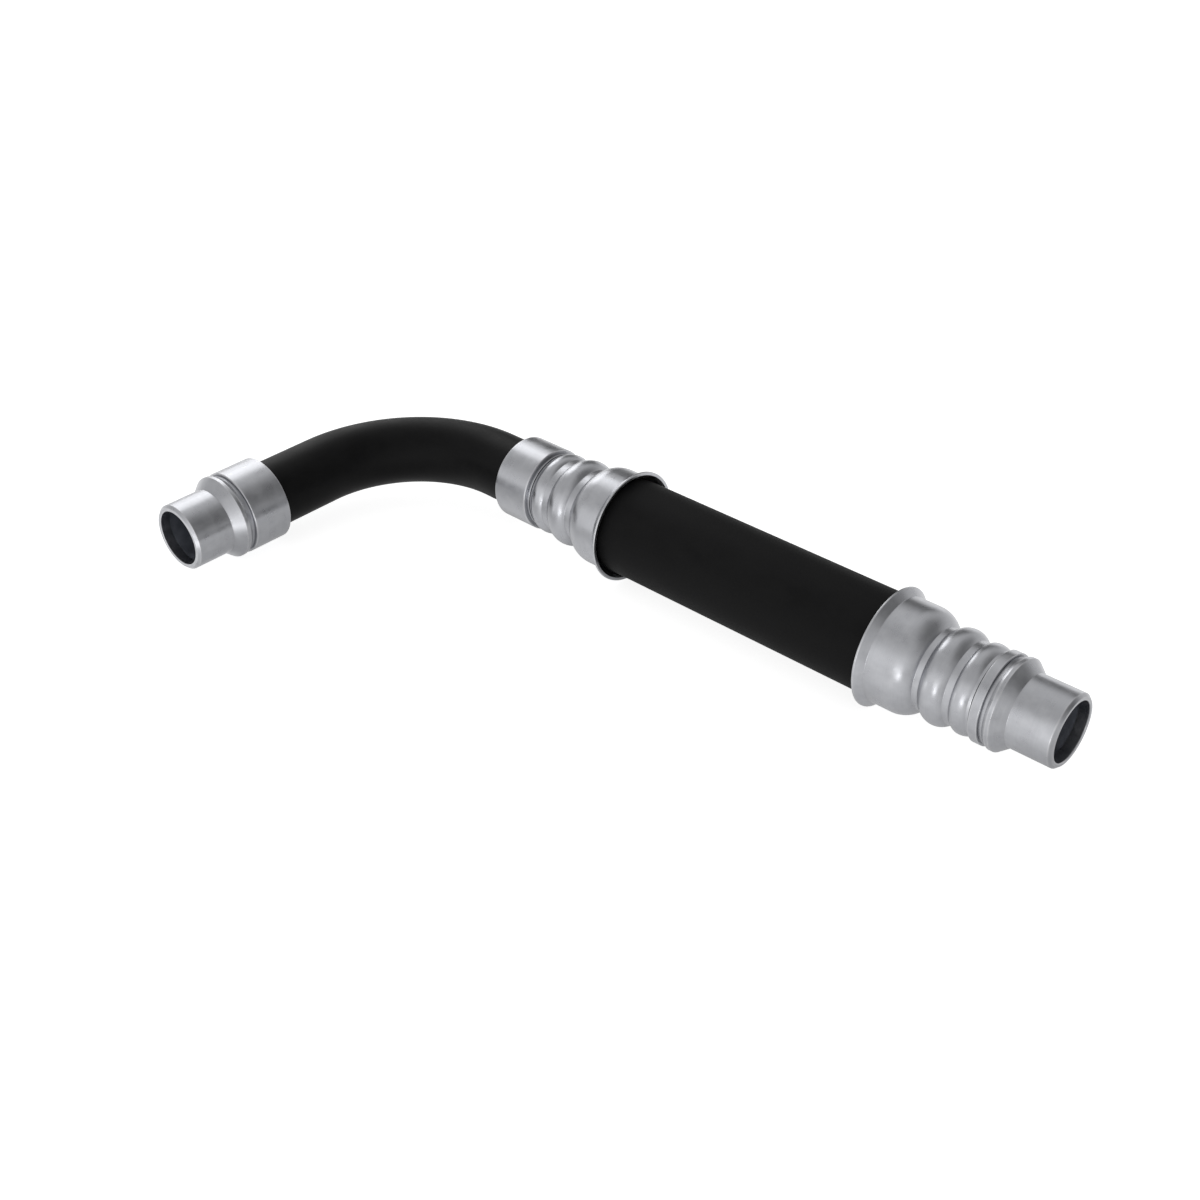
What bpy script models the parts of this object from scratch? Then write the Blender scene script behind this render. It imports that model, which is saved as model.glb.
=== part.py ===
"""Short hydraulic hose assembly.

A thick straight hose is joined by a crimped double ferrule to a thinner hose that turns through a
right angle. Each free end is a metal insert with a plain stub tube, a cone and a round collar.
The assembly lies on the lips of its two ferrules and on the collar of its bent arm.
Lengths are in metres. The straight run lies along X, and the bent arm points to minus Y.
"""

import math

import bmesh
import bpy

# Clearance and fineness
GAP = 0.0003
AROUND = 32
BEND_STEPS = 14

# Straight thick hose
THICK_HOSE_R = 0.01375
THICK_HOSE_BORE_R = 0.0080
THICK_HOSE_SHOWN = 0.0861

# Bent thin hose
THIN_HOSE_R = 0.0099
THIN_HOSE_BORE_R = 0.00635
BEND_R = 0.0378
BEND_TO_MIDDLE_SLEEVE = 0.0107
BEND_TO_LEFT_SLEEVE = 0.0213

# Necks of the inserts and of the coupler, and the narrow spaces between the fittings
NECK_R = THIN_HOSE_R
COUPLER_CREVICE = 0.0010
RING_CREVICE = 0.0005

# Plain crimp sleeves
SLEEVE_WALL = 0.0021
SLEEVE_LENGTH = 0.0120
SLEEVE_ROUND = 0.0005
SLEEVE_EDGE = 0.0002
SLEEVE_NECK_SEAT = 0.0020

# Lock ring beside the right ferrule
RING_STEP = 0.0001
RING_LENGTH = 0.0025
RING_EDGE = 0.00015

# Ferrules: wall, and how far each band stands out from what it fits
FERRULE_WALL = 0.0010
MOUTH_CLEARANCE = 0.00165
LIP_WIDTH = 0.0009
LIP_EDGE = 0.0002
LIP_THICK = 0.0005
BELL_RISE = 0.00072
LARGE_BULGE_RISE = 0.00172
SMALL_BULGE_RISE = 0.0009
FERRULE_END_WALL = 0.0008

# Ferrules: places along the axis from the mouth, one set for each, since each was crimped by itself
FLARE_LENGTH = 0.0024
FLARE_KNEE = 0.0012
FLARE_KNEE_RISE = 0.00098
RIGHT_FERRULE = {
    "shoulder": 0.0082,
    "groove_1": (0.0142, 0.0158),
    "large_bulge": 0.0193,
    "groove_2": (0.0227, 0.0245),
    "small_bulge": 0.0265,
    "length": 0.0299,
}
MIDDLE_FERRULE = {
    "shoulder": 0.0082,
    "groove_1": (0.0142, 0.0163),
    "large_bulge": 0.0195,
    "groove_2": (0.0231, 0.0252),
    "small_bulge": 0.0273,
    "length": 0.0302,
}

# Visible ends of both inserts, from the root of the collar outward
END_LENGTH = 0.01785
COLLAR_BACK_DROP = 0.0006
COLLAR_CREST = 0.0018
COLLAR_WIDTH = 0.0028
CONE_LENGTH = 0.0030
STUB_R = 0.00977
STUB_WALL = 0.00171
STUB_CHAMFER = 0.0008
STUB_NOSE = 0.00077
BORE_EDGE = 0.0002

# Barbed stems inside the hoses
THIN_STEM_PAST_SLEEVE = 0.0025
THIN_STEM_WALL = 0.00125
THIN_BARBS = 3
THICK_STEM_LENGTH = 0.0192
THICK_STEM_WALL = 0.0017
THICK_BARBS = 4
BARB_DEPTH = 0.0004
TIP_CHAMFER = 0.0004

# Sizes that follow from the ones above
SLEEVE_BORE_R = THIN_HOSE_R + GAP
SLEEVE_R = SLEEVE_BORE_R + SLEEVE_WALL
COLLAR_R = SLEEVE_R
RING_R = COLLAR_R - RING_STEP
NECK_BORE_R = NECK_R + GAP
GROOVE_R = NECK_BORE_R + FERRULE_WALL
COLLAR_ROOT_R = COLLAR_R - COLLAR_BACK_DROP
LARGE_BULGE_R = GROOVE_R + LARGE_BULGE_RISE
SMALL_BULGE_R = GROOVE_R + SMALL_BULGE_RISE
FERRULE_END_R = NECK_BORE_R + FERRULE_END_WALL
MOUTH_R = THICK_HOSE_R + MOUTH_CLEARANCE
LIP_R = MOUTH_R + LIP_WIDTH
BELL_R = THICK_HOSE_R + BELL_RISE
FLARE_KNEE_R = BELL_R + FLARE_KNEE_RISE
STUB_BORE_R = STUB_R - STUB_WALL
STUB_FACE_R = STUB_R - STUB_NOSE
THIN_STEM_LENGTH = SLEEVE_LENGTH - SLEEVE_NECK_SEAT + THIN_STEM_PAST_SLEEVE
THIN_STEM_R = THIN_HOSE_BORE_R - GAP
THIN_STEM_BORE_R = THIN_STEM_R - THIN_STEM_WALL
THICK_STEM_R = THICK_HOSE_BORE_R - GAP
THICK_STEM_BORE_R = THICK_STEM_R - THICK_STEM_WALL

# Places along the straight run, from the start of the bend
MIDDLE_SLEEVE_END = BEND_TO_MIDDLE_SLEEVE + SLEEVE_LENGTH
MIDDLE_FERRULE_END = MIDDLE_SLEEVE_END + COUPLER_CREVICE
MIDDLE_MOUTH = MIDDLE_FERRULE_END + MIDDLE_FERRULE["length"]
RIGHT_MOUTH = MIDDLE_MOUTH + THICK_HOSE_SHOWN
RIGHT_FERRULE_END = RIGHT_MOUTH + RIGHT_FERRULE["length"]
RING_START = RIGHT_FERRULE_END + RING_CREVICE
RIGHT_COLLAR = RING_START + RING_LENGTH + GAP
RIGHT_END = RIGHT_COLLAR + END_LENGTH

# Places along the bent arm, from the end of the bend
LEFT_SLEEVE_END = BEND_TO_LEFT_SLEEVE + SLEEVE_LENGTH
LEFT_COLLAR = LEFT_SLEEVE_END + GAP
LEFT_END = LEFT_COLLAR + END_LENGTH

# Turning point of the collar's outer edge, which touches the surface under the arm
ARM_CONTACT = BEND_R + LEFT_COLLAR + COLLAR_WIDTH
TILT = math.asin(LIP_R / math.hypot(ARM_CONTACT, COLLAR_R)) - math.atan2(COLLAR_R, ARM_CONTACT)

# Middle of the footprint, from the start of the bend
REACH_BACK = BEND_R + max(SLEEVE_R, COLLAR_R)
REACH_ARM = (BEND_R + LEFT_END) * math.cos(TILT) + STUB_FACE_R * math.sin(TILT)
CENTRE_X = (RIGHT_END - REACH_BACK) / 2
CENTRE_Y = (LIP_R - REACH_ARM) / 2


def clear_scene():
    """Take every object out of the scene."""
    for thing in list(bpy.data.objects):
        bpy.data.objects.remove(thing, do_unlink=True)


def finish(name, colour, roughness, metallic):
    """Return a plain material."""
    material = bpy.data.materials.new(name)
    material.use_nodes = True
    shader = material.node_tree.nodes["Principled BSDF"]
    shader.inputs["Base Color"].default_value = (*colour, 1.0)
    shader.inputs["Roughness"].default_value = roughness
    shader.inputs["Metallic"].default_value = metallic
    return material


def steel(name):
    """Plated steel of the fittings."""
    return finish(name, (0.40, 0.41, 0.43), 0.32, 1.0)


def rubber(name, roughness):
    """Black hose rubber."""
    return finish(name, (0.012, 0.012, 0.012), roughness, 0.0)


def empty(name, parent=None):
    """Return an empty that carries other objects."""
    holder = bpy.data.objects.new(name, None)
    bpy.context.collection.objects.link(holder)
    holder.parent = parent
    return holder


def solid_of_rings(name, rings, material, parent):
    """Join rings of points into one closed tube wall.

    Each ring is a centre, two directions across the tube and a radius. The rings run down the outside
    and come back along the bore, so that the last one joins the first.
    """
    mesh_data = bmesh.new()
    loops = []
    for centre, side, top, radius in rings:
        loop = []
        for step in range(AROUND):
            angle = 2 * math.pi * step / AROUND
            along_side = radius * math.cos(angle)
            along_top = radius * math.sin(angle)
            point = [c + along_side * s + along_top * t for c, s, t in zip(centre, side, top)]
            loop.append(mesh_data.verts.new(point))
        loops.append(loop)
    for first, second in zip(loops, loops[1:] + loops[:1]):
        for step in range(AROUND):
            after = (step + 1) % AROUND
            mesh_data.faces.new((first[step], first[after], second[after], second[step]))
    bmesh.ops.recalc_face_normals(mesh_data, faces=mesh_data.faces)
    mesh = bpy.data.meshes.new(name)
    mesh_data.to_mesh(mesh)
    mesh_data.free()
    mesh.shade_smooth()
    mesh.set_sharp_from_angle(angle=math.radians(35.0))
    mesh.materials.append(material)
    solid = bpy.data.objects.new(name, mesh)
    bpy.context.collection.objects.link(solid)
    solid.parent = parent
    return solid


def turned(name, outline, material, parent):
    """Return a piece turned about its own X axis from a closed outline of places and radii."""
    rings = [((place, 0.0, 0.0), (0.0, 1.0, 0.0), (0.0, 0.0, 1.0), radius) for place, radius in outline]
    return solid_of_rings(name, rings, material, parent)


def corner(place, radius, rounding, way, steps):
    """Points of a rounded edge, from a flat end at the place onto the outside, which lies way of it."""
    points = []
    for step in range(steps + 1):
        angle = math.pi / 2 * step / steps
        along = rounding * (1 - math.cos(angle))
        points.append((place + way * along, radius - rounding * (1 - math.sin(angle))))
    return points


def fall_from_crest(crest, crest_r, foot, foot_r, inward, steps):
    """Points of an arc that leaves a crest level and comes down to a foot.

    The foot is before or after the crest. Inward is how far the arc lies inside the one through the foot.
    """
    drop = crest_r - foot_r
    reach = abs(foot - crest)
    arc_r = (reach ** 2 + drop ** 2) / (2 * drop)
    centre_r = crest_r - arc_r
    inner_arc = arc_r - inward
    last = math.acos((foot_r - inward - centre_r) / inner_arc)
    way = 1 if foot > crest else -1
    points = []
    for step in range(steps + 1):
        angle = last * step / steps
        points.append((crest + way * inner_arc * math.sin(angle), centre_r + inner_arc * math.cos(angle)))
    return points


def bulge(start, crest, end, foot_r, crest_r, inward, steps):
    """Points of a round bulge from its start to its end."""
    rise = fall_from_crest(crest, crest_r, start, foot_r, inward, steps)
    fall = fall_from_crest(crest, crest_r, end, foot_r, inward, steps)
    return rise[::-1] + fall[1:]


def bell_and_large_bulge(places, inward):
    """Points from the bell's shoulder, over the large bulge, to the start of the second groove.

    The ferrule's outside, its inside and the hose pressed into it all follow these points.
    """
    foot, start = places["groove_1"]
    end = places["groove_2"][0]
    shoulder = fall_from_crest(places["shoulder"], BELL_R, foot, GROOVE_R, inward, 4)
    large = bulge(start, places["large_bulge"], end, GROOVE_R, LARGE_BULGE_R, inward, 3)
    return shoulder + large


def hose_stop(places):
    """Place where the thick hose ends inside a ferrule: the middle of the second groove."""
    return sum(places["groove_2"]) / 2


def ferrule(name, places, parent):
    """Return a ferrule whose mouth is at the origin and whose small end points to plus X."""
    lip = corner(0.0, LIP_R, LIP_EDGE, 1, 1) + [(LIP_THICK, LIP_R)]
    flare = [(FLARE_KNEE, FLARE_KNEE_R), (FLARE_LENGTH, BELL_R)]
    crest = places["small_bulge"]
    small_rise = fall_from_crest(crest, SMALL_BULGE_R, places["groove_2"][1], GROOVE_R, 0.0, 3)
    small_fall = fall_from_crest(crest, SMALL_BULGE_R, places["length"], FERRULE_END_R, 0.0, 3)
    outside = lip + flare + bell_and_large_bulge(places, 0.0) + small_rise[::-1] + small_fall[1:]
    inside = [(0.0, MOUTH_R), (FLARE_LENGTH, BELL_R - FERRULE_WALL)]
    inside += bell_and_large_bulge(places, FERRULE_WALL)
    inside += [(places["length"], NECK_BORE_R)]
    return turned(name, outside + inside[::-1], steel(name + "_steel"), parent)


def crimp_sleeve(name, parent):
    """Return a plain sleeve that starts at the origin on the hose's side, where its edge is sharper."""
    outside = corner(0.0, SLEEVE_R, SLEEVE_EDGE, 1, 1)
    outside += corner(SLEEVE_LENGTH, SLEEVE_R, SLEEVE_ROUND, -1, 2)[::-1]
    inside = [(0.0, SLEEVE_BORE_R), (SLEEVE_LENGTH, SLEEVE_BORE_R)]
    return turned(name, outside + inside[::-1], steel(name + "_steel"), parent)


def lock_ring(name, parent):
    """Return the narrow flat ring between the right ferrule and the right collar."""
    outside = corner(0.0, RING_R, RING_EDGE, 1, 1) + corner(RING_LENGTH, RING_R, RING_EDGE, -1, 1)[::-1]
    inside = [(0.0, NECK_BORE_R), (RING_LENGTH, NECK_BORE_R)]
    return turned(name, outside + inside[::-1], steel(name + "_steel"), parent)


def barbs(root, way, stem_r, length, count):
    """Points of a barbed stem from its root to its tip, along plus or minus X."""
    pitch = (length - TIP_CHAMFER) / count
    points = []
    for number in range(count):
        start = root + way * pitch * number
        points.append((start, stem_r - BARB_DEPTH * (number > 0)))
        points.append((start, stem_r))
    tip = root + way * length
    points.append((tip - way * TIP_CHAMFER, stem_r - BARB_DEPTH))
    points.append((tip, stem_r - BARB_DEPTH - TIP_CHAMFER))
    return points[1:]


def end_insert(name, neck_length, stem_r, stem_bore_r, stem_length, barb_count, parent):
    """Return an end insert with its collar's root at the origin and its stub pointing to plus X.

    The collar's back slopes, which leaves a shallow groove beside the sleeve or the lock ring.
    """
    collar = [(0.0, NECK_R), (0.0, COLLAR_ROOT_R), (COLLAR_CREST, COLLAR_R), (COLLAR_WIDTH, COLLAR_R)]
    stub = [
        (COLLAR_WIDTH + CONE_LENGTH, STUB_R),
        (END_LENGTH - STUB_CHAMFER, STUB_R),
        (END_LENGTH, STUB_FACE_R),
        (END_LENGTH, STUB_BORE_R + BORE_EDGE),
        (END_LENGTH - BORE_EDGE, STUB_BORE_R),
    ]
    bore = [(0.0, STUB_BORE_R), (-neck_length, stem_bore_r), (-neck_length - stem_length, stem_bore_r)]
    stem = barbs(-neck_length, -1, stem_r, stem_length, barb_count)
    outline = collar + stub + bore + stem[::-1] + [(-neck_length, NECK_R)]
    return turned(name, outline, steel(name + "_steel"), parent)


def coupler(name, neck_back, neck_front, parent):
    """Return the double nipple, whose origin is level with the end of the middle sleeve.

    Its land fills the space between the sleeve and the middle ferrule.
    """
    thin_tip = -neck_back - THIN_STEM_LENGTH
    thick_tip = neck_front + THICK_STEM_LENGTH
    thin_stem = barbs(-neck_back, -1, THIN_STEM_R, THIN_STEM_LENGTH, THIN_BARBS)
    thick_stem = barbs(neck_front, 1, THICK_STEM_R, THICK_STEM_LENGTH, THICK_BARBS)
    land_end = COUPLER_CREVICE - GAP
    neck = [(-neck_back, NECK_R), (GAP, NECK_R), (GAP, GROOVE_R), (land_end, GROOVE_R), (land_end, NECK_R)]
    neck.append((neck_front, NECK_R))
    bore = [
        (thick_tip, THICK_STEM_BORE_R),
        (neck_front, THICK_STEM_BORE_R),
        (-neck_back, THIN_STEM_BORE_R),
        (thin_tip, THIN_STEM_BORE_R),
    ]
    outline = thin_stem[::-1] + neck + thick_stem + bore
    return turned(name, outline, steel(name + "_steel"), parent)


def straight_hose(name, parent):
    """Return the thick hose, pressed into a ferrule at each end, with its origin at the middle mouth."""
    squeeze = FERRULE_WALL + GAP
    back = [(-hose_stop(MIDDLE_FERRULE), GROOVE_R - squeeze)]
    for place, radius in bell_and_large_bulge(MIDDLE_FERRULE, squeeze)[::-1]:
        back.append((-place, radius))
    back.append((-FLARE_LENGTH, BELL_R - squeeze))
    back.append((-FLARE_LENGTH / 2, THICK_HOSE_R))
    front = [(THICK_HOSE_SHOWN + FLARE_LENGTH / 2, THICK_HOSE_R)]
    front.append((THICK_HOSE_SHOWN + FLARE_LENGTH, BELL_R - squeeze))
    for place, radius in bell_and_large_bulge(RIGHT_FERRULE, squeeze):
        front.append((THICK_HOSE_SHOWN + place, radius))
    front.append((THICK_HOSE_SHOWN + hose_stop(RIGHT_FERRULE), GROOVE_R - squeeze))
    bore = [(front[-1][0], THICK_HOSE_BORE_R), (back[0][0], THICK_HOSE_BORE_R)]
    return turned(name, back + front + bore, rubber(name + "_rubber", 0.62), parent)


def bend_path(straight_end, arm_end):
    """Centres and side directions of the bent hose, from the middle sleeve to the left one."""
    path = [((straight_end, 0.0, 0.0), (0.0, 1.0, 0.0))]
    for step in range(BEND_STEPS + 1):
        angle = math.pi / 2 * step / BEND_STEPS
        centre = (-BEND_R * math.sin(angle), -BEND_R * (1 - math.cos(angle)), 0.0)
        path.append((centre, (-math.sin(angle), math.cos(angle), 0.0)))
    path.append(((-BEND_R, -BEND_R - arm_end, 0.0), (-1.0, 0.0, 0.0)))
    return path


def bent_hose(name, straight_end, arm_end, parent):
    """Return the thin hose, whose origin is the start of the bend on the straight run."""
    path = bend_path(straight_end, arm_end)
    up = (0.0, 0.0, 1.0)
    outside = [(centre, side, up, THIN_HOSE_R) for centre, side in path]
    bore = [(centre, side, up, THIN_HOSE_BORE_R) for centre, side in path]
    return solid_of_rings(name, outside + bore[::-1], rubber(name + "_rubber", 0.50), parent)


def build():
    """Make the whole assembly."""
    clear_scene()
    run = empty("straight_run")
    run.location = (-CENTRE_X, -CENTRE_Y, LIP_R)
    bend = empty("bend_plane", run)
    bend.rotation_euler = (TILT, 0.0, 0.0)
    arm = empty("arm", bend)
    arm.location = (-BEND_R, -BEND_R, 0.0)
    arm.rotation_euler = (0.0, 0.0, -math.pi / 2)

    neck_seat = SLEEVE_NECK_SEAT
    left = end_insert("left_end_insert", GAP + neck_seat, THIN_STEM_R, THIN_STEM_BORE_R,
                      THIN_STEM_LENGTH, THIN_BARBS, arm)
    left.location = (LEFT_COLLAR, 0.0, 0.0)
    left_sleeve = crimp_sleeve("left_crimp_sleeve", arm)
    left_sleeve.location = (BEND_TO_LEFT_SLEEVE, 0.0, 0.0)

    bent_hose("bent_hose", MIDDLE_SLEEVE_END - neck_seat - GAP, LEFT_SLEEVE_END - neck_seat - GAP, bend)

    middle_sleeve = crimp_sleeve("middle_crimp_sleeve", run)
    middle_sleeve.location = (BEND_TO_MIDDLE_SLEEVE, 0.0, 0.0)
    neck_front = MIDDLE_MOUTH - hose_stop(MIDDLE_FERRULE) - GAP - MIDDLE_SLEEVE_END
    middle = coupler("middle_coupler", neck_seat, neck_front, run)
    middle.location = (MIDDLE_SLEEVE_END, 0.0, 0.0)

    middle_ferrule = ferrule("middle_ferrule", MIDDLE_FERRULE, run)
    middle_ferrule.location = (MIDDLE_MOUTH, 0.0, 0.0)
    middle_ferrule.rotation_euler = (0.0, 0.0, math.pi)
    thick = straight_hose("straight_hose", run)
    thick.location = (MIDDLE_MOUTH, 0.0, 0.0)
    right_ferrule = ferrule("right_ferrule", RIGHT_FERRULE, run)
    right_ferrule.location = (RIGHT_MOUTH, 0.0, 0.0)

    ring = lock_ring("right_lock_ring", run)
    ring.location = (RING_START, 0.0, 0.0)
    right_neck = RIGHT_COLLAR - RIGHT_MOUTH - hose_stop(RIGHT_FERRULE) - GAP
    right = end_insert("right_end_insert", right_neck, THICK_STEM_R, THICK_STEM_BORE_R,
                       THICK_STEM_LENGTH, THICK_BARBS, run)
    right.location = (RIGHT_COLLAR, 0.0, 0.0)


build()
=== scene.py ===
"""Looks of the short hydraulic hose: fine turned fittings, two rubber hoses, camera, floor and lights."""

import math

import bmesh
import bpy
from mathutils import Matrix, Vector


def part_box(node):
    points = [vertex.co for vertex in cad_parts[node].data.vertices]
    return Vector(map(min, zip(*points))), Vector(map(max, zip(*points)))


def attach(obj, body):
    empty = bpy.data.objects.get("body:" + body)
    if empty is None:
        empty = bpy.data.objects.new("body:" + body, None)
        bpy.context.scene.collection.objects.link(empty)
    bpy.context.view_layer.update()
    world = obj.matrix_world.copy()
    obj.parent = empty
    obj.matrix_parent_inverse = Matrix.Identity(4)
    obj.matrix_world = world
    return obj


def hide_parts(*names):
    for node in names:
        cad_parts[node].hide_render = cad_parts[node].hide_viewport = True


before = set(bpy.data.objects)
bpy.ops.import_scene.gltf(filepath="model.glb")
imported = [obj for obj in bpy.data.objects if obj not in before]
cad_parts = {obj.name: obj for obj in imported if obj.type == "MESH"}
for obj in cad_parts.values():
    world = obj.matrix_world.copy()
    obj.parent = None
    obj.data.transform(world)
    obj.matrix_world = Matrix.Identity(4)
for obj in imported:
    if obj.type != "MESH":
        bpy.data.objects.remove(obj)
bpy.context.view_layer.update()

MM = 0.001
BODY = "root"

# Fineness of the meshes
AROUND = 144
ARC_STEP = 0.45 * MM
FILLET_STEPS = 5
FILLET_SHARE = 0.46
GUARD = 0.28 * MM
SHARP_ANGLE = math.radians(40.0)
HOSE_RINGS = 12
BEND_RINGS = 48
ARM_RINGS = 16

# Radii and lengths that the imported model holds
GAP = 0.30 * MM
THICK_HOSE_R = 13.75 * MM
THICK_HOSE_BORE_R = 8.0 * MM
THIN_HOSE_R = 9.9 * MM
THIN_HOSE_BORE_R = 6.35 * MM
BEND_R = 37.8 * MM
SLEEVE_R = 12.3 * MM
SLEEVE_BORE_R = 10.2 * MM
SLEEVE_LENGTH = 12.0 * MM
SLEEVE_NECK_SEAT = 2.0 * MM
NECK_R = 9.9 * MM
NECK_BORE_R = 10.2 * MM
SEAM = 0.06 * MM
COUPLER_LAND_END = 0.84 * MM
FERRULE_WALL = 1.0 * MM
LIP_R = 16.3 * MM
MOUTH_R = 15.4 * MM
BELL_R = 14.47 * MM
LARGE_BULGE_R = 12.92 * MM
SMALL_BULGE_R = 12.1 * MM
GROOVE_R = 11.2 * MM
FLARE_LENGTH = 2.4 * MM
LIP_THICK = 0.5 * MM
FERRULE_TAIL = 0.75 * MM
FERRULE_TAIL_R = 11.05 * MM
RIGHT_FERRULE = {
    "shoulder": 8.2 * MM,
    "groove_1": (14.2 * MM, 15.8 * MM),
    "large_bulge": 19.3 * MM,
    "groove_2": (22.7 * MM, 24.5 * MM),
    "small_bulge": 26.5 * MM,
    "length": 29.9 * MM,
}
MIDDLE_FERRULE = {
    "shoulder": 8.2 * MM,
    "groove_1": (14.2 * MM, 16.3 * MM),
    "large_bulge": 19.5 * MM,
    "groove_2": (23.1 * MM, 25.2 * MM),
    "small_bulge": 27.3 * MM,
    "length": 30.2 * MM,
}
COLLAR_R = 12.3 * MM
COLLAR_ROOT_R = 11.55 * MM
COLLAR_KNEE_R = 11.75 * MM
COLLAR_KNEE = 0.81 * MM
COLLAR_CREST = 1.8 * MM
COLLAR_WIDTH = 2.8 * MM
CONE_LENGTH = 3.0 * MM
RING_R = 12.2 * MM
END_LENGTH = 17.85 * MM
STUB_R = 9.77 * MM
STUB_BORE_R = 8.06 * MM
STUB_CHAMFER = 0.8 * MM
STUB_FACE_R = 9.0 * MM
# Length of bore at the stub's mouth that keeps the plain steel, and the depth where the painted shade of the
# bore starts
BRIGHT_BORE = 2.0 * MM
DARK_BORE = 3.0 * MM
THIN_STEM_R = 6.05 * MM
THIN_STEM_BORE_R = 4.8 * MM
THIN_STEM_LENGTH = 12.5 * MM
THICK_STEM_R = 7.7 * MM
THICK_STEM_BORE_R = 6.0 * MM
THICK_STEM_LENGTH = 19.2 * MM
BARB_DEPTH = 0.4 * MM
BEND_TO_MIDDLE_SLEEVE = 10.7 * MM
ARM_SLEEVE = 21.3 * MM

# Fillets of the edges and of the creases
FILLET = {
    "lip": 0.22 * MM,
    "lip_back": 0.16 * MM,
    "flare": 0.35 * MM,
    "shoulder": 0.3 * MM,
    "large_bulge": 0.25 * MM,
    "small_bulge": 0.2 * MM,
    "tail": 0.18 * MM,
    "sleeve_hose_side": 0.22 * MM,
    "sleeve_fitting_side": 0.3 * MM,
    "ring": 0.16 * MM,
    "collar_knee": 0.5 * MM,
    "collar_crest": 0.4 * MM,
    "collar": 0.25 * MM,
    "cone_foot": 0.3 * MM,
    "stub_chamfer": 0.25 * MM,
    "stub_face": 0.15 * MM,
    "stub_bore": 0.25 * MM,
    "land": 0.12 * MM,
    "hose_mouth": 0.8 * MM,
}

# Places of the pieces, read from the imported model
RUN_Y = sum(point.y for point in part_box("straight_hose")) / 2
RUN_Z = sum(point.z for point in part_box("straight_hose")) / 2
MIDDLE_SLEEVE_X, MIDDLE_SLEEVE_END_X = (point.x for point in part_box("middle_crimp_sleeve"))
BEND_X = MIDDLE_SLEEVE_X - BEND_TO_MIDDLE_SLEEVE
MIDDLE_MOUTH_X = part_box("middle_ferrule")[1].x
RIGHT_MOUTH_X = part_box("right_ferrule")[0].x
RING_X, RING_END_X = (point.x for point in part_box("right_lock_ring"))
RIGHT_COLLAR_X = RING_END_X + GAP
ARM_COLLAR = ARM_SLEEVE + SLEEVE_LENGTH + GAP
ARM_CONTACT = BEND_R + ARM_COLLAR + COLLAR_WIDTH
TILT = math.asin(LIP_R / math.hypot(ARM_CONTACT, COLLAR_R)) - math.atan2(COLLAR_R, ARM_CONTACT)

STRAIGHT_RUN = Matrix.Translation((0.0, RUN_Y, RUN_Z))
BEND_PLANE = Matrix.Translation((BEND_X, RUN_Y, RUN_Z)) @ Matrix.Rotation(TILT, 4, "X")
ARM = BEND_PLANE @ Matrix.Translation((-BEND_R, -BEND_R, 0.0)) @ Matrix.Rotation(-math.pi / 2, 4, "Z")


# Outlines: lists of (place along the axis, radius, edge mark for wear and a painted highlight, crease mark
# for painted shade)

def rounded(corners):
    """Outline with its corners rounded. Each corner is a place, a radius and the size of its fillet.

    The outline runs along the outside of the solid, with the material on its right.
    """
    points = []
    for index, (place, radius, fillet) in enumerate(corners):
        here = Vector((place, radius))
        if fillet == 0 or index in (0, len(corners) - 1):
            points.append((place, radius, 0.0, 0.0))
            continue
        before = Vector(corners[index - 1][:2])
        after = Vector(corners[index + 1][:2])
        back = (before - here).normalized()
        ahead = (after - here).normalized()
        turn = math.acos(max(-1.0, min(1.0, -back.dot(ahead))))
        room = FILLET_SHARE * min((before - here).length, (after - here).length)
        reach = min(fillet * math.tan(turn / 2), room)
        size = reach / math.tan(turn / 2)
        convex = back.x * ahead.y - back.y * ahead.x > 0
        middle = here + (back + ahead).normalized() * (size / math.cos(turn / 2))
        start = here + back * reach - middle
        end = here + ahead * reach - middle
        sweep = math.atan2(start.x * end.y - start.y * end.x, start.dot(end))
        guard = min(GUARD, 0.5 * room)
        points.append((*(here + back * (reach + guard)), 0.0, 0.0))
        for step in range(FILLET_STEPS + 1):
            angle = sweep * step / FILLET_STEPS
            spot = middle + Matrix.Rotation(angle, 2) @ start
            points.append((spot.x, spot.y, 1.0 if convex else 0.0, 0.0 if convex else 1.0))
        points.append((*(here + ahead * (reach + guard)), 0.0, 0.0))
    return points


def fall_from_crest(crest, crest_r, foot, foot_r, inward=0.0):
    """Points of an arc that leaves a crest level and comes down to a foot before or after it."""
    drop = crest_r - foot_r
    reach = abs(foot - crest)
    arc_r = (reach ** 2 + drop ** 2) / (2 * drop)
    centre_r = crest_r - arc_r
    inner_arc = arc_r - inward
    last = math.acos((foot_r - inward - centre_r) / inner_arc)
    way = 1 if foot > crest else -1
    steps = max(4, round(last * inner_arc / ARC_STEP))
    points = []
    for step in range(steps + 1):
        angle = last * step / steps
        along = crest + way * inner_arc * math.sin(angle)
        points.append((along, centre_r + inner_arc * math.cos(angle), 0.0))
    return points


def bulge(start, crest, end, foot_r, crest_r, crease, inward=0.0):
    """Corners of a round bulge, with a crease of the given size at each foot."""
    rise = fall_from_crest(crest, crest_r, start, foot_r, inward)[::-1]
    fall = fall_from_crest(crest, crest_r, end, foot_r, inward)
    rise[0] = (*rise[0][:2], crease)
    fall[-1] = (*fall[-1][:2], crease)
    return rise + fall[1:]


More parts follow.
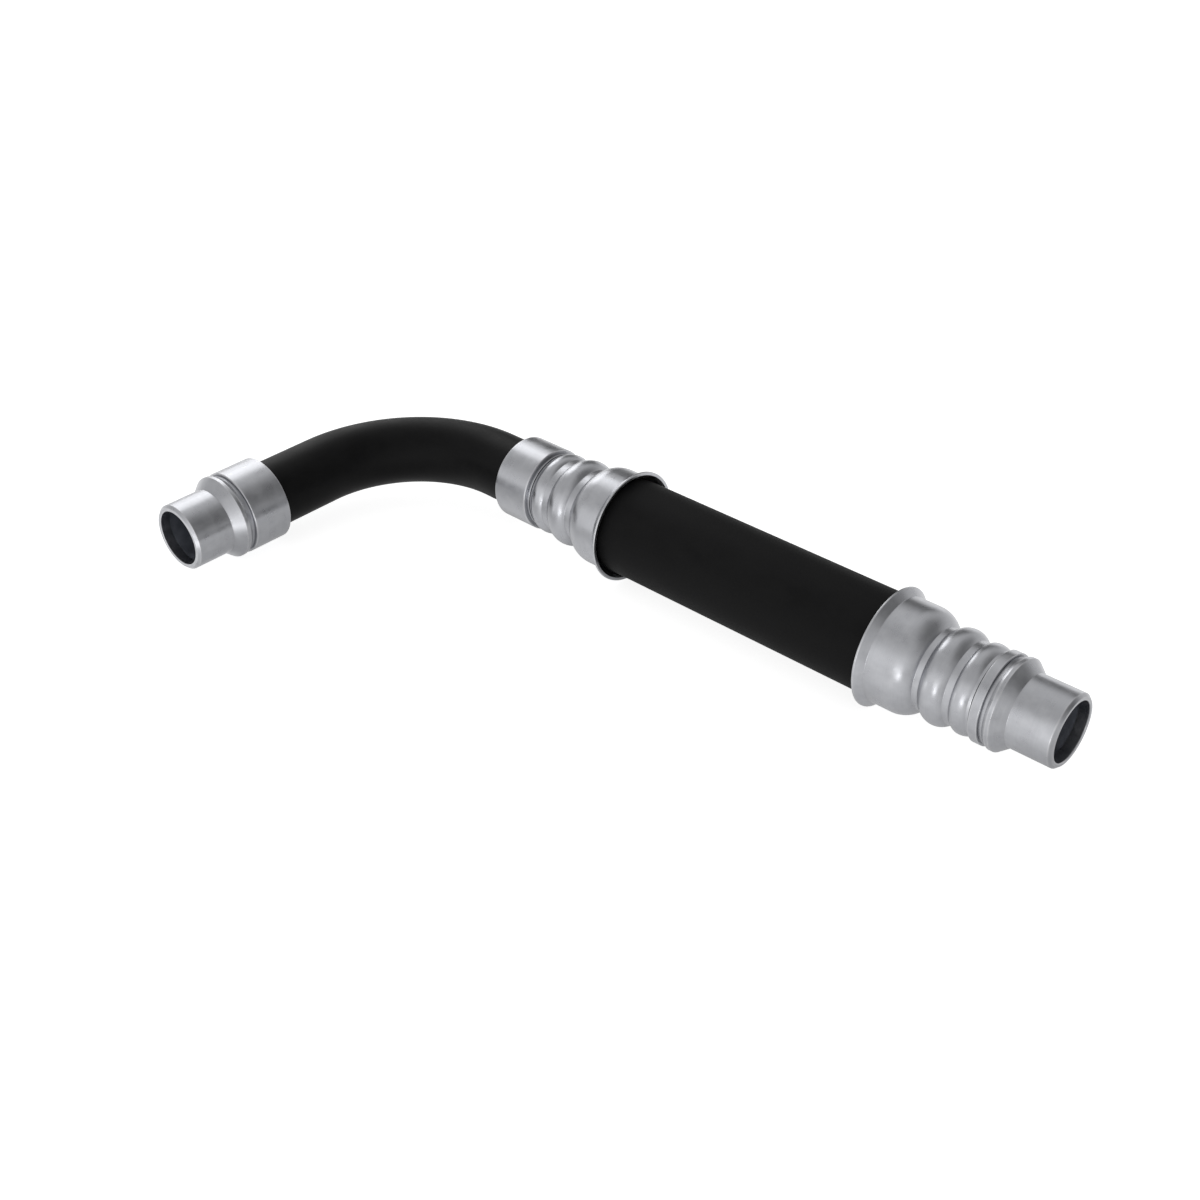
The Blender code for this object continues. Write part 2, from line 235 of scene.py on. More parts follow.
def piece_from_rings(name, rings, materials, place):
    """Closed mesh from rings of points. A ring is its points, its run places, edge, crease and material.

    The run places are those of the piece laid out straight, which the grain follows.
    """
    verts = []
    runs = []
    edges = []
    creases = []
    for ring in rings:
        verts.extend(ring["points"])
        runs.extend(ring["runs"])
        edges.extend([ring["edge"]] * AROUND)
        creases.extend([ring["crease"]] * AROUND)
    faces = []
    slots = []
    count = len(rings)
    for index in range(count):
        first = index * AROUND
        second = (index + 1) % count * AROUND
        for step in range(AROUND):
            after = (step + 1) % AROUND
            faces.append((first + step, first + after, second + after, second + step))
            slots.append(rings[index]["slot"])
    mesh = bpy.data.meshes.new(name)
    mesh.from_pydata(verts, [], faces)
    mesh.polygons.foreach_set("material_index", slots)
    run = mesh.attributes.new("run", "FLOAT_VECTOR", "POINT")
    run.data.foreach_set("vector", [value for place in runs for value in place])
    mesh.attributes.new("edge", "FLOAT", "POINT").data.foreach_set("value", edges)
    mesh.attributes.new("crease", "FLOAT", "POINT").data.foreach_set("value", creases)
    mesh.transform(place)
    shape = bmesh.new()
    shape.from_mesh(mesh)
    bmesh.ops.recalc_face_normals(shape, faces=shape.faces)
    shape.to_mesh(mesh)
    shape.free()
    mesh.shade_smooth()
    mesh.set_sharp_from_angle(angle=SHARP_ANGLE)
    for material in materials:
        mesh.materials.append(material)
    piece = bpy.data.objects.new(name, mesh)
    bpy.context.collection.objects.link(piece)
    return piece


def turned(name, outside, inside, materials, place):
    """Piece turned about its own X axis. The inside outline gets the second material."""
    rings = []
    for number, outline in enumerate((outside, inside)):
        for along, radius, edge, crease in outline:
            ring = []
            for step in range(AROUND):
                angle = 2 * math.pi * step / AROUND
                ring.append((along, radius * math.cos(angle), radius * math.sin(angle)))
            rings.append({"points": ring, "runs": ring, "edge": edge, "crease": crease, "slot": number})
    rings[len(outside) - 1]["slot"] = 0
    rings[-1]["slot"] = 0
    return piece_from_rings(name, rings, materials, place)


def settle(piece, node):
    """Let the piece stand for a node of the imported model."""
    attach(piece, BODY)
    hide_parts(node)


# Materials

# Base colours, and for the rubber its roughness
STEEL_DARK = (0.388, 0.394, 0.415)
STEEL_LIGHT = (0.448, 0.454, 0.476)
STEEL_SCUFF = (0.57, 0.575, 0.59)
STEEL_EDGE_WEAR_AND_HIGHLIGHT = (0.62, 0.62, 0.63)
STEEL_CREASE_SHADE = (0.25, 0.25, 0.26)
# Painted shade of the bores: darker steel deep inside the stubs
BORE_SHADE_DARK = (0.150, 0.160, 0.190)
BORE_SHADE_LIGHT = (0.220, 0.234, 0.272)
THICK_RUBBER_DARK = (0.0052, 0.0052, 0.0054)
THICK_RUBBER_LIGHT = (0.0080, 0.0080, 0.0082)
THICK_RUBBER_ROUGH = 0.62
THIN_RUBBER_DARK = (0.0048, 0.0048, 0.0050)
THIN_RUBBER_LIGHT = (0.0075, 0.0075, 0.0077)
THIN_RUBBER_ROUGH = 0.45
RUBBER_SPECULAR = 0.08

# Depth of the fine relief
STEEL_RELIEF = 0.01 * MM
BORE_RELIEF = 0.03 * MM
RUBBER_RELIEF = 0.05 * MM


def add_node(tree, kind, **values):
    """New node with some of its settings."""
    node = tree.nodes.new(kind)
    for key, value in values.items():
        setattr(node, key, value)
    return node


def noise_of(tree, scale, detail=3.0, roughness=0.5, offset=0.0):
    """Noise along the piece as if it lay straight, with a scale for each direction, per metre."""
    source = add_node(tree, "ShaderNodeAttribute", attribute_name="run")
    mapping = add_node(tree, "ShaderNodeMapping")
    mapping.inputs["Scale"].default_value = scale
    mapping.inputs["Location"].default_value = (offset, offset, offset)
    noise = add_node(tree, "ShaderNodeTexNoise")
    noise.inputs["Scale"].default_value = 1.0
    noise.inputs["Detail"].default_value = detail
    noise.inputs["Roughness"].default_value = roughness
    tree.links.new(source.outputs["Vector"], mapping.inputs["Vector"])
    tree.links.new(mapping.outputs["Vector"], noise.inputs["Vector"])
    return noise.outputs["Fac"]


def ranged(tree, value, low, high, to_low, to_high):
    """Value moved from one range to another and held inside it."""
    node = add_node(tree, "ShaderNodeMapRange", clamp=True)
    node.inputs["From Min"].default_value = low
    node.inputs["From Max"].default_value = high
    node.inputs["To Min"].default_value = to_low
    node.inputs["To Max"].default_value = to_high
    tree.links.new(value, node.inputs["Value"])
    return node.outputs["Result"]


def combined(tree, operation, first, second):
    """Result of one math operation on two values, either of which may be a plain number."""
    node = add_node(tree, "ShaderNodeMath", operation=operation)
    for socket, value in zip(node.inputs, (first, second)):
        if isinstance(value, (int, float)):
            socket.default_value = value
        else:
            tree.links.new(value, socket)
    return node.outputs["Value"]


def blended(tree, share, first, second):
    """Mix of two colours, either of which may be a plain colour."""
    node = add_node(tree, "ShaderNodeMix", data_type="RGBA")
    tree.links.new(share, node.inputs["Factor"])
    for socket, value in ((node.inputs[6], first), (node.inputs[7], second)):
        if isinstance(value, tuple):
            socket.default_value = (*value, 1.0)
        else:
            tree.links.new(value, socket)
    return node.outputs[2]


def mark_of(tree, name):
    """Edge or crease mark that the outline left on the mesh."""
    return add_node(tree, "ShaderNodeAttribute", attribute_name=name).outputs["Fac"]


def new_material(name, metallic):
    """Material with its tree and its surface shader."""
    material = bpy.data.materials.new(name)
    material.use_nodes = True
    tree = material.node_tree
    shader = tree.nodes["Principled BSDF"]
    shader.inputs["Metallic"].default_value = metallic
    return material, tree, shader


def bump_from(tree, shader, height, strength, depth):
    """Fine relief of the surface."""
    bump = add_node(tree, "ShaderNodeBump")
    bump.inputs["Strength"].default_value = strength
    bump.inputs["Distance"].default_value = depth
    tree.links.new(height, bump.inputs["Height"])
    tree.links.new(bump.outputs["Normal"], shader.inputs["Normal"])


def steel(name, offset):
    """Satin plated steel: faint clouds, fine turning marks, light scuffs, edges lighter from wear and a
    painted highlight, and painted shade in the creases.
    """
    material, tree, shader = new_material(name, 1.0)
    cloud = noise_of(tree, (310, 310, 310), 4.0, 0.55, offset)
    turning = noise_of(tree, (5200, 60, 60), 3.0, 0.6, offset)
    scuff = noise_of(tree, (260, 420, 420), 2.0, 0.5, offset + 7)
    scuff_mark = ranged(tree, scuff, 0.52, 0.72, 0.0, 1.0)
    # Masks of the convex edges (rubbed wear and a painted highlight) and of the concave creases (painted
    # shade)
    edge = combined(tree, "MULTIPLY", mark_of(tree, "edge"), ranged(tree, cloud, 0.35, 0.6, 0.35, 1.0))
    crease = combined(tree, "MULTIPLY", mark_of(tree, "crease"), ranged(tree, cloud, 0.3, 0.7, 0.5, 1.0))
    tone = combined(tree, "MULTIPLY", cloud, 0.7)
    tone = combined(tree, "ADD", tone, combined(tree, "MULTIPLY", turning, 0.3))
    tone = ranged(tree, tone, 0.35, 0.65, 0.0, 1.0)
    colour = blended(tree, tone, STEEL_DARK, STEEL_LIGHT)
    colour = blended(tree, combined(tree, "MULTIPLY", scuff_mark, 0.15), colour, STEEL_SCUFF)
    # Edges lighter: partly rubbed wear, partly a painted highlight where the rounded edges catch the lamps
    colour = blended(tree, combined(tree, "MULTIPLY", edge, 0.45), colour, STEEL_EDGE_WEAR_AND_HIGHLIGHT)
    # Painted shade in the concave fillets and creases
    colour = blended(tree, combined(tree, "MULTIPLY", crease, 0.15), colour, STEEL_CREASE_SHADE)
    tree.links.new(colour, shader.inputs["Base Color"])
    rough = ranged(tree, cloud, 0.3, 0.7, 0.26, 0.34)
    rough = combined(tree, "ADD", rough, combined(tree, "MULTIPLY", scuff_mark, 0.04))
    tree.links.new(rough, shader.inputs["Roughness"])
    bump_from(tree, shader, turning, 0.05, STEEL_RELIEF)
    return material


def bore_steel_painted_shade(name, offset):
    """Darker steel deep inside the stubs: painted shade in the bores."""
    material, tree, shader = new_material(name, 0.75)
    cloud = noise_of(tree, (260, 260, 260), 4.0, 0.6, offset)
    turning = noise_of(tree, (2600, 50, 50), 2.0, 0.5, offset)
    tone = ranged(tree, cloud, 0.3, 0.7, 0.0, 1.0)
    colour = blended(tree, tone, BORE_SHADE_DARK, BORE_SHADE_LIGHT)
    tree.links.new(colour, shader.inputs["Base Color"])
    tree.links.new(ranged(tree, cloud, 0.3, 0.7, 0.38, 0.55), shader.inputs["Roughness"])
    bump_from(tree, shader, turning, 0.25, BORE_RELIEF)
    return material


def rubber(name, dark, light, rough, offset):
    """Black rubber cover: fine grain, faint draw lines along the hose, dusty patches."""
    material, tree, shader = new_material(name, 0.0)
    grain = noise_of(tree, (2400, 2400, 2400), 3.0, 0.6, offset)
    lines = noise_of(tree, (40, 1300, 1300), 2.0, 0.5, offset)
    dust = noise_of(tree, (120, 170, 170), 4.0, 0.6, offset + 3)
    colour = blended(tree, ranged(tree, dust, 0.35, 0.7, 0.0, 1.0), dark, light)
    tree.links.new(colour, shader.inputs["Base Color"])
    tree.links.new(ranged(tree, dust, 0.3, 0.7, rough - 0.04, rough + 0.06), shader.inputs["Roughness"])
    shader.inputs["Specular IOR Level"].default_value = RUBBER_SPECULAR
    height = combined(tree, "MULTIPLY", grain, 0.75)
    height = combined(tree, "ADD", height, combined(tree, "MULTIPLY", lines, 0.25))
    bump_from(tree, shader, height, 0.35, RUBBER_RELIEF)
    return material


# Pieces

def ferrule_shell(name, places, metals, place):
    """Crimped ferrule with its mouth at the origin and its small end to plus X."""
    lip = [(0.0, LIP_R, FILLET["lip"]), (LIP_THICK, LIP_R, FILLET["lip_back"])]
    flare = [(FLARE_LENGTH, BELL_R, FILLET["flare"])]
    shoulder = fall_from_crest(places["shoulder"], BELL_R, places["groove_1"][0], GROOVE_R)
    shoulder[-1] = (*shoulder[-1][:2], FILLET["shoulder"])
    large = bulge(places["groove_1"][1], places["large_bulge"], places["groove_2"][0],
                  GROOVE_R, LARGE_BULGE_R, FILLET["large_bulge"])
    small = bulge(places["groove_2"][1], places["small_bulge"], places["length"] - FERRULE_TAIL,
                  GROOVE_R, SMALL_BULGE_R, FILLET["small_bulge"])
    tail = [(places["length"], FERRULE_TAIL_R, FILLET["tail"])]
    mouth = [(0.0, MOUTH_R, 0.0)]
    end = [(places["length"], NECK_BORE_R, 0.0)]
    outside = rounded(mouth + lip + flare + shoulder + large + small + tail + end)
    inner_mouth = [(FLARE_LENGTH, BELL_R - FERRULE_WALL, 0.0)]
    inner_shoulder = fall_from_crest(places["shoulder"], BELL_R, places["groove_1"][0],
                                     GROOVE_R, FERRULE_WALL)
    inner_large = bulge(places["groove_1"][1], places["large_bulge"], places["groove_2"][0],
                        GROOVE_R, LARGE_BULGE_R, 0.0, FERRULE_WALL)
    inside = rounded(inner_mouth + inner_shoulder + inner_large)[::-1]
    return turned(name, outside, inside, metals, place)


def inside_of_tube(length, radius):
    """Two rings inside a short tube, which keep its bore round up to the faces."""
    return [(length * share, radius, 0.0, 0.0) for share in (0.7, 0.3)]


def sleeve_shell(name, metals, place):
    """Plain crimp sleeve, whose edge on the hose's side is the sharper one."""
    outside = rounded([
        (0.0, SLEEVE_BORE_R, 0.0),
        (0.0, SLEEVE_R, FILLET["sleeve_hose_side"]),
        (SLEEVE_LENGTH, SLEEVE_R, FILLET["sleeve_fitting_side"]),
        (SLEEVE_LENGTH, SLEEVE_BORE_R, 0.0),
    ])
    return turned(name, outside, inside_of_tube(SLEEVE_LENGTH, SLEEVE_BORE_R), metals, place)


def ring_shell(name, length, metals, place):
    """Narrow flat lock ring."""
    outside = rounded([
        (0.0, NECK_BORE_R, 0.0),
        (0.0, RING_R, FILLET["ring"]),
        (length, RING_R, FILLET["ring"]),
        (length, NECK_BORE_R, 0.0),
    ])
    return turned(name, outside, inside_of_tube(length, NECK_BORE_R), metals, place)


def insert_shell(name, neck, stem_r, stem_bore_r, stem_length, metals, place):
    """End insert with its collar's root at the origin and its stub to plus X."""
    root = [
        (-neck - stem_length, stem_r - BARB_DEPTH, 0.0),
        (-neck, stem_r, 0.0),
        (-neck, NECK_R, 0.0),
        (SEAM - GAP, NECK_R, 0.0),
        (SEAM - GAP, COLLAR_ROOT_R, 0.0),
    ]
    outside = rounded(root + [
        (COLLAR_KNEE, COLLAR_KNEE_R, FILLET["collar_knee"]),
        (COLLAR_CREST, COLLAR_R, FILLET["collar_crest"]),
        (COLLAR_WIDTH, COLLAR_R, FILLET["collar"]),
        (COLLAR_WIDTH + CONE_LENGTH, STUB_R, FILLET["cone_foot"]),
        (END_LENGTH - STUB_CHAMFER, STUB_R, FILLET["stub_chamfer"]),
        (END_LENGTH, STUB_FACE_R, FILLET["stub_face"]),
        (END_LENGTH, STUB_BORE_R, FILLET["stub_bore"]),
        (END_LENGTH - BRIGHT_BORE, STUB_BORE_R, 0.0),
    ])
    inside = [
        # From here inwards the bore gets the painted shade
        (END_LENGTH - DARK_BORE, STUB_BORE_R, 0.0, 0.0),
        (0.0, STUB_BORE_R, 0.0, 0.0),
        (-neck, stem_bore_r, 0.0, 0.0),
        (-neck - stem_length, stem_bore_r, 0.0, 0.0),
    ]
    return turned(name, outside, inside, metals, place)


def coupler_shell(name, back, front, metals, place):
    """Double nipple between the two hoses, of which only the land beside the sleeve shows."""
    outside = rounded([
        (-back - THIN_STEM_LENGTH, THIN_STEM_R - BARB_DEPTH, 0.0),
        (-back, THIN_STEM_R, 0.0),
        (-back, NECK_R, 0.0),
        (SEAM, NECK_R, 0.0),
        (SEAM, GROOVE_R, 0.0),
        (COUPLER_LAND_END, GROOVE_R, FILLET["land"]),
        (COUPLER_LAND_END, NECK_R, 0.0),
        (front, NECK_R, 0.0),
        (front, THICK_STEM_R, 0.0),
        (front + THICK_STEM_LENGTH, THICK_STEM_R - BARB_DEPTH, 0.0),
    ])
    inside = [
        (front + THICK_STEM_LENGTH, THICK_STEM_BORE_R, 0.0, 0.0),
        (front, THICK_STEM_BORE_R, 0.0, 0.0),
        (-back, THIN_STEM_BORE_R, 0.0, 0.0),
        (-back - THIN_STEM_LENGTH, THIN_STEM_BORE_R, 0.0, 0.0),
    ]
    return turned(name, outside, inside, metals, place)


def hose_stop(places):
    """Place where the thick hose ends inside a ferrule: the middle of the second groove."""
    return sum(places["groove_2"]) / 2


def hose_end(places):
    """Outline of the thick hose inside a ferrule, from the mouth to where the hose stops."""
    squeeze = FERRULE_WALL + GAP
    outline = [(FLARE_LENGTH / 2, THICK_HOSE_R, FILLET["hose_mouth"])]
    outline.append((FLARE_LENGTH, BELL_R - squeeze, 0.0))
    outline += fall_from_crest(places["shoulder"], BELL_R, places["groove_1"][0], GROOVE_R, squeeze)
    outline += bulge(places["groove_1"][1], places["large_bulge"], places["groove_2"][0],
                     GROOVE_R, LARGE_BULGE_R, 0.0, squeeze)
    outline.append((hose_stop(places), GROOVE_R - squeeze, 0.0))
    return outline


def thick_hose(name, material):
    """Straight thick hose, pressed into a ferrule at each end."""
    shown = RIGHT_MOUTH_X - MIDDLE_MOUTH_X
    back = [(-along, radius, fillet) for along, radius, fillet in hose_end(MIDDLE_FERRULE)[::-1]]
    front = [(shown + along, radius, fillet) for along, radius, fillet in hose_end(RIGHT_FERRULE)]
    middle = [(shown * number / HOSE_RINGS, THICK_HOSE_R, 0.0) for number in range(1, HOSE_RINGS)]
    outside = [(*point[:2], 0.0, 0.0) for point in rounded(back + middle + front)]
    inside = [(outside[end][0], THICK_HOSE_BORE_R, 0.0, 0.0) for end in (-1, 0)]
    return turned(name, outside, inside, (material, material), on_run(MIDDLE_MOUTH_X))


def bend_path():
    """Stations of the thin hose: centre, side direction and length from its start."""
    start = MIDDLE_SLEEVE_END_X - BEND_X - SLEEVE_NECK_SEAT - GAP
    end = ARM_SLEEVE + SLEEVE_LENGTH - SLEEVE_NECK_SEAT - GAP
    path = []
    for number in range(HOSE_RINGS + 1):
        along = start * (HOSE_RINGS - number) / HOSE_RINGS
        path.append((Vector((along, 0.0, 0.0)), Vector((0.0, 1.0, 0.0)), start - along))
    for number in range(1, BEND_RINGS + 1):
        angle = math.pi / 2 * number / BEND_RINGS
        centre = Vector((-BEND_R * math.sin(angle), -BEND_R * (1 - math.cos(angle)), 0.0))
        path.append((centre, Vector((-math.sin(angle), math.cos(angle), 0.0)), start + BEND_R * angle))
    for number in range(1, ARM_RINGS + 1):
        along = end * number / ARM_RINGS
        done = start + BEND_R * math.pi / 2 + along
        path.append((Vector((-BEND_R, -BEND_R - along, 0.0)), Vector((-1.0, 0.0, 0.0)), done))
    return path


def thin_hose(name, material):
    """Bent thin hose between the middle and the left sleeve."""
    rings = []
    up = Vector((0.0, 0.0, 1.0))
    path = bend_path()
    for radius, stations in ((THIN_HOSE_R, path), (THIN_HOSE_BORE_R, path[::-1])):
        for centre, side, along in stations:
            points = []
            runs = []
            for step in range(AROUND):
                angle = 2 * math.pi * step / AROUND
                points.append(centre + radius * (math.cos(angle) * side + math.sin(angle) * up))
                runs.append((along, radius * math.cos(angle), radius * math.sin(angle)))
            rings.append({"points": points, "runs": runs, "edge": 0.0, "crease": 0.0, "slot": 0})
    return piece_from_rings(name, rings, (material,), BEND_PLANE)


def on_run(place):
    """Place along the straight run."""
    return STRAIGHT_RUN @ Matrix.Translation((place, 0.0, 0.0))


def on_arm(place):
    """Place along the bent arm, from the end of the bend."""
    return ARM @ Matrix.Translation((place, 0.0, 0.0))


def build_pieces():
    """Make every piece and let it stand for its node."""
    metals = []
    for number in range(4):
        outer = steel(f"plated_steel_{number}", 11.0 * number)
        metals.append((outer, bore_steel_painted_shade(f"bore_steel_painted_shade_{number}", 5.0 * number)))
    thick_rubber = rubber("thick_hose_cover", THICK_RUBBER_DARK, THICK_RUBBER_LIGHT, THICK_RUBBER_ROUGH, 0.0)
    thin_rubber = rubber("thin_hose_cover", THIN_RUBBER_DARK, THIN_RUBBER_LIGHT, THIN_RUBBER_ROUGH, 20.0)

    left = insert_shell("left_end_insert_turned", GAP + SLEEVE_NECK_SEAT, THIN_STEM_R, THIN_STEM_BORE_R,
                        THIN_STEM_LENGTH, metals[0], on_arm(ARM_COLLAR))
    settle(left, "left_end_insert")
    sleeve = sleeve_shell("left_crimp_sleeve_turned", metals[1], on_arm(ARM_SLEEVE))
    settle(sleeve, "left_crimp_sleeve")
    settle(thin_hose("bent_hose_cover", thin_rubber), "bent_hose")
    sleeve = sleeve_shell("middle_crimp_sleeve_turned", metals[2], on_run(MIDDLE_SLEEVE_X))
    settle(sleeve, "middle_crimp_sleeve")
    front = MIDDLE_MOUTH_X - hose_stop(MIDDLE_FERRULE) - GAP - MIDDLE_SLEEVE_END_X
    coupler = coupler_shell("middle_coupler_turned", SLEEVE_NECK_SEAT, front, metals[3],
                            on_run(MIDDLE_SLEEVE_END_X))
    settle(coupler, "middle_coupler")
    middle = ferrule_shell("middle_ferrule_crimped", MIDDLE_FERRULE, metals[0],
                           on_run(MIDDLE_MOUTH_X) @ Matrix.Rotation(math.pi, 4, "Z"))
    settle(middle, "middle_ferrule")
    settle(thick_hose("straight_hose_cover", thick_rubber), "straight_hose")
    right = ferrule_shell("right_ferrule_crimped", RIGHT_FERRULE, metals[2], on_run(RIGHT_MOUTH_X))
    settle(right, "right_ferrule")
    ring = ring_shell("right_lock_ring_turned", RING_END_X - RING_X, metals[1], on_run(RING_X))
    settle(ring, "right_lock_ring")
    neck = RIGHT_COLLAR_X - RIGHT_MOUTH_X - hose_stop(RIGHT_FERRULE) - GAP
    insert = insert_shell("right_end_insert_turned", neck, THICK_STEM_R, THICK_STEM_BORE_R,
                          THICK_STEM_LENGTH, metals[3], on_run(RIGHT_COLLAR_X))
    settle(insert, "right_end_insert")


# Camera, floor and lights

# Camera as seen from the plane of the bend
CAMERA_AZIMUTH = math.radians(43.343)
CAMERA_HEIGHT = math.radians(34.337)
CAMERA_ROLL = math.radians(-0.965)
CAMERA_SPOT = Vector((307.69, -283.03, 234.83)) * MM
CAMERA_LENS = 47.5

# Light of the room and of the floor as metal shows them, and of the floor as the camera sees it
ROOM_LEVEL = 0.69
FLOOR_LEVEL = 0.76
FLOOR_SEEN = 0.85
FLOOR_PAINT = 0.48
FLOOR_REACH = 12.0
FLOOR_Z = -0.02 * MM

# Patches of the room: direction, how near to it they start and are full, and the light that they add
ROOM_PATCHES = (
    ((-0.309, 0.951, 0.030), 0.965, 0.994, 1.15),
    ((-0.383, 0.321, 0.866), 0.82, 1.0, 0.17),
    ((0.696, 0.370, 0.616), 0.72, 0.97, -0.44),
    ((-0.589, 0.781, 0.208), 0.80, 0.94, -0.58),
)

# Lamps: name, place, the point they face, width, height and brightness
LAMPS = (
    ("key", (-0.75, 0.40, 0.33), (-0.08, 0.0, 0.02), 0.42, 0.42, 1.7),
    ("key_high", (-0.42, 0.18, 0.395), (-0.05, 0.03, 0.0), 0.22, 0.24, 1.5),
    ("front_low", (0.26, -0.66, 0.030), (0.0, 0.03, 0.030), 0.32, 0.05, 3.0),
    ("card_right", (0.114, -0.050, 0.0048), (0.065, 0.037, 0.020), 0.024, 0.008, 6.0),
    ("card_middle", (0.008, -0.045, 0.0048), (-0.030, 0.037, 0.020), 0.030, 0.008, 5.5),
    ("card_left", (-0.080, -0.067, 0.0060), (-0.108, -0.033, 0.012), 0.026, 0.011, 1.3),
)


def make_camera():
    """Camera at the photograph's view, found in the hose's own bend plane."""
    level = Vector((math.sin(CAMERA_AZIMUTH), -math.cos(CAMERA_AZIMUTH), 0.0))
    back = level * math.cos(CAMERA_HEIGHT) + Vector((0.0, 0.0, math.sin(CAMERA_HEIGHT)))
    right = Vector((math.cos(CAMERA_AZIMUTH), math.sin(CAMERA_AZIMUTH), 0.0))
    up = back.cross(right)
    turned_right = right * math.cos(CAMERA_ROLL) + up * math.sin(CAMERA_ROLL)
    turned_up = up * math.cos(CAMERA_ROLL) - right * math.sin(CAMERA_ROLL)
    axes = Matrix((turned_right, turned_up, back)).transposed().to_4x4()
    data = bpy.data.cameras.new("camera")
    data.lens = CAMERA_LENS
    data.sensor_width = 36.0
    data.clip_start = 0.01
    data.clip_end = 50.0
    camera = bpy.data.objects.new("camera", data)
    bpy.context.collection.objects.link(camera)
    camera.matrix_world = BEND_PLANE @ Matrix.Translation(CAMERA_SPOT) @ axes
    bpy.context.scene.camera = camera


def make_floor():
    """Pale floor, white to the camera, with painted shade in places where the metal reflects it.

    Only its painted share takes light, so the hose's shadow stays faint.
    """
    material = bpy.data.materials.new("floor")
    material.use_nodes = True
    tree = material.node_tree
    tree.nodes.clear()
    output = add_node(tree, "ShaderNodeOutputMaterial")
    paint = add_node(tree, "ShaderNodeBsdfDiffuse")
    paint.inputs["Color"].default_value = (FLOOR_PAINT, FLOOR_PAINT, FLOOR_PAINT, 1.0)
    glow = add_node(tree, "ShaderNodeEmission")
    path = add_node(tree, "ShaderNodeLightPath")
    place = add_node(tree, "ShaderNodeNewGeometry")
    parts = add_node(tree, "ShaderNodeSeparateXYZ")
    tree.links.new(place.outputs["Position"], parts.inputs["Vector"])
    along = parts.outputs["X"]
    across = parts.outputs["Y"]

    # Painted shade on the floor in the reflections: inside the bend and to the right of the hose
    inner = combined(tree, "MULTIPLY", ranged(tree, along, -0.109, -0.101, 0.0, 1.0),
                     ranged(tree, along, -0.045, -0.02, 1.0, 0.0))
    inner = combined(tree, "MULTIPLY", inner, ranged(tree, across, -0.064, -0.048, 0.0, 0.36))
    inner = combined(tree, "MULTIPLY", inner, ranged(tree, across, 0.0, 0.022, 1.0, 0.0))
    shade = combined(tree, "ADD", inner, ranged(tree, along, 0.105, 0.15, 0.0, 0.30))

    # Painted shade on the floor in the reflections, for the hose's shadow under the straight run: a wide
    # strip at the right, a narrow one at the left
    beside = combined(tree, "ABSOLUTE", combined(tree, "SUBTRACT", across, RUN_Y), 0.0)
    wide = combined(tree, "MULTIPLY", ranged(tree, beside, 0.0, 0.032, 0.36, 0.0),
                    ranged(tree, along, -0.06, 0.05, 0.35, 1.0))
    narrow = combined(tree, "MULTIPLY", ranged(tree, beside, 0.0, 0.012, 0.42, 0.0),
                      ranged(tree, along, -0.02, 0.04, 1.0, 0.0))
    shade = combined(tree, "ADD", shade, combined(tree, "ADD", wide, narrow))

    # Even to the camera, shaded to the reflections
    mirrored = combined(tree, "MAXIMUM", path.outputs["Is Glossy Ray"], path.outputs["Is Transmission Ray"])
    mirrored = combined(tree, "MULTIPLY", mirrored, combined(tree, "SUBTRACT", FLOOR_LEVEL, shade))
    seen = combined(tree, "MULTIPLY", path.outputs["Is Camera Ray"], FLOOR_SEEN)
    tree.links.new(combined(tree, "MAXIMUM", seen, mirrored), glow.inputs["Strength"])
    both = add_node(tree, "ShaderNodeAddShader")
    tree.links.new(paint.outputs["BSDF"], both.inputs[0])
    tree.links.new(glow.outputs["Emission"], both.inputs[1])
    tree.links.new(both.outputs["Shader"], output.inputs["Surface"])

    mesh = bpy.data.meshes.new("floor")
    corners = [(FLOOR_REACH * x, FLOOR_REACH * y, FLOOR_Z) for x, y in ((-1, -1), (1, -1), (1, 1), (-1, 1))]
    mesh.from_pydata(corners, [], [(0, 1, 2, 3)])
    mesh.materials.append(material)
    floor = bpy.data.objects.new("floor", mesh)
    bpy.context.collection.objects.link(floor)


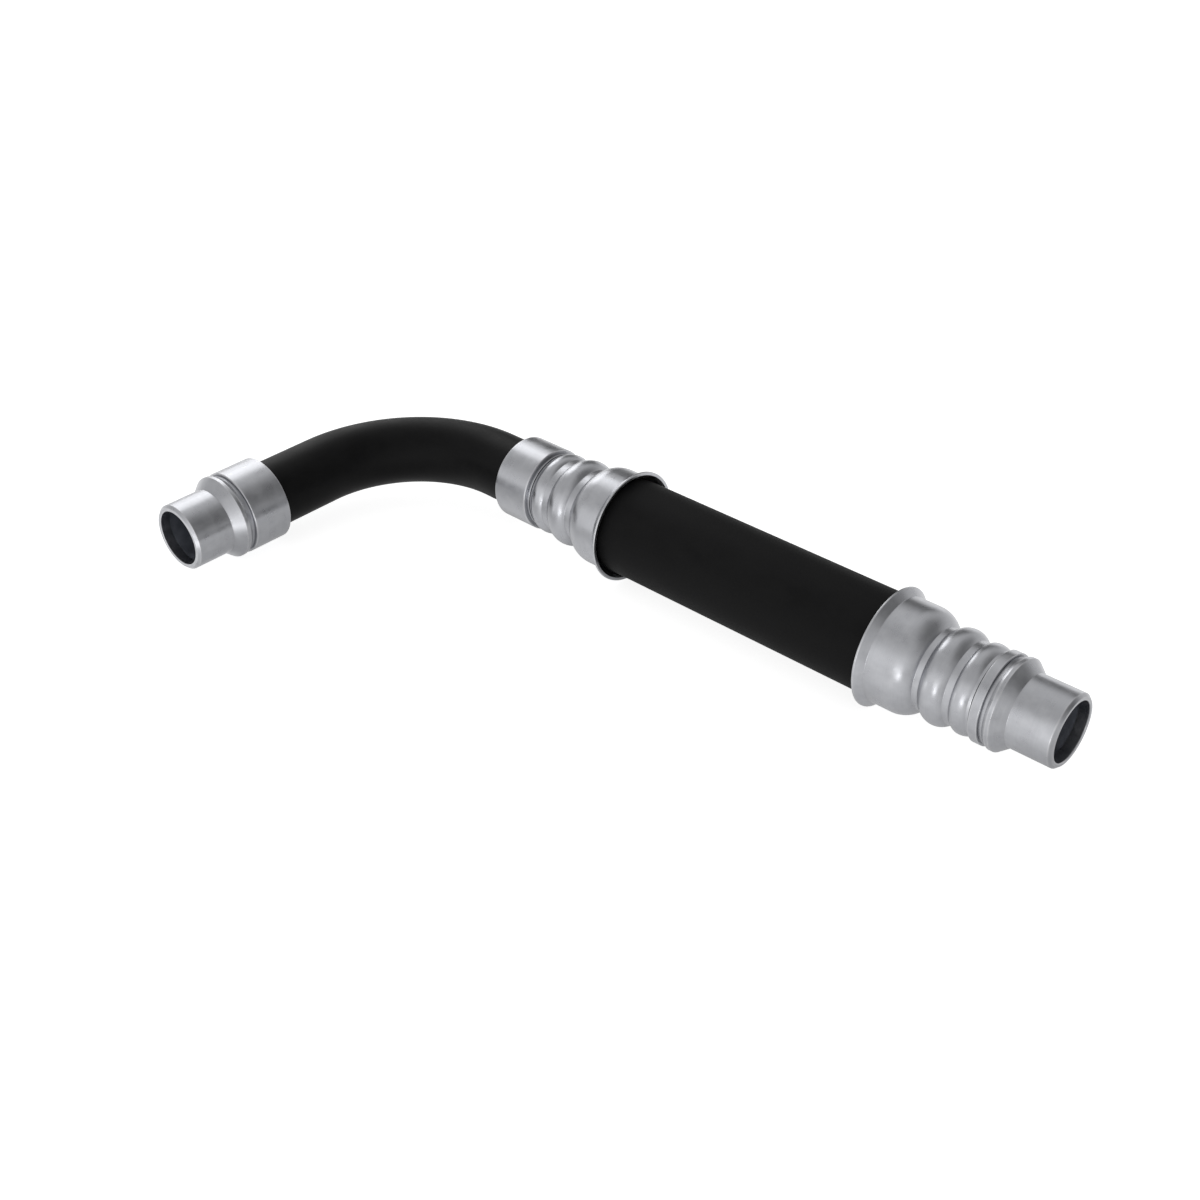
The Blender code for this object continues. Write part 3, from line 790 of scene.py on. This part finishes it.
def make_world():
    """Studio room: brighter in front and near the horizon, with its own patches, white to the camera."""
    world = bpy.data.worlds.new("studio")
    world.use_nodes = True
    tree = world.node_tree
    background = tree.nodes["Background"]
    place = add_node(tree, "ShaderNodeTexCoord")
    background.inputs["Color"].default_value = (1.0, 1.0, 1.0, 1.0)
    parts = add_node(tree, "ShaderNodeSeparateXYZ")
    tree.links.new(place.outputs["Generated"], parts.inputs["Vector"])
    front = combined(tree, "MULTIPLY", ranged(tree, parts.outputs["Z"], 0.42, 0.66, 0.45, 0.0),
                     ranged(tree, parts.outputs["Y"], -0.85, -0.45, 1.0, 0.0))
    room = combined(tree, "ADD", front, ROOM_LEVEL)
    room = combined(tree, "ADD", room, ranged(tree, parts.outputs["Z"], 0.10, 0.45, 0.18, 0.0))
    for way, start, full, light in ROOM_PATCHES:
        facing = add_node(tree, "ShaderNodeVectorMath", operation="DOT_PRODUCT")
        facing.inputs[1].default_value = way
        tree.links.new(place.outputs["Generated"], facing.inputs[0])
        room = combined(tree, "ADD", room, ranged(tree, facing.outputs["Value"], start, full, 0.0, light))
    path = add_node(tree, "ShaderNodeLightPath")
    strength = combined(tree, "MAXIMUM", room, path.outputs["Is Camera Ray"])
    tree.links.new(strength, background.inputs["Strength"])
    bpy.context.scene.world = world


def softbox(name, spot, aim, width, tall, brightness):
    """Rectangular lamp at a place, turned to the point that it lights. The camera doesn't see it."""
    data = bpy.data.lights.new(name, "AREA")
    data.shape = "RECTANGLE"
    data.size = width
    data.size_y = tall
    data.energy = brightness * math.pi * width * tall
    lamp = bpy.data.objects.new(name, data)
    bpy.context.collection.objects.link(lamp)
    lamp.location = spot
    lamp.rotation_mode = "QUATERNION"
    lamp.rotation_quaternion = (Vector(spot) - Vector(aim)).to_track_quat("Z", "Y")
    lamp.visible_camera = False


def make_lights():
    """Soft studio lamps: two at the back left, one low in front, three small cards just above the floor."""
    for name, spot, aim, width, tall, brightness in LAMPS:
        softbox(name, spot, aim, width, tall, brightness)


build_pieces()
make_camera()
make_floor()
make_world()
make_lights()
bpy.context.scene.view_settings.view_transform = "Standard"
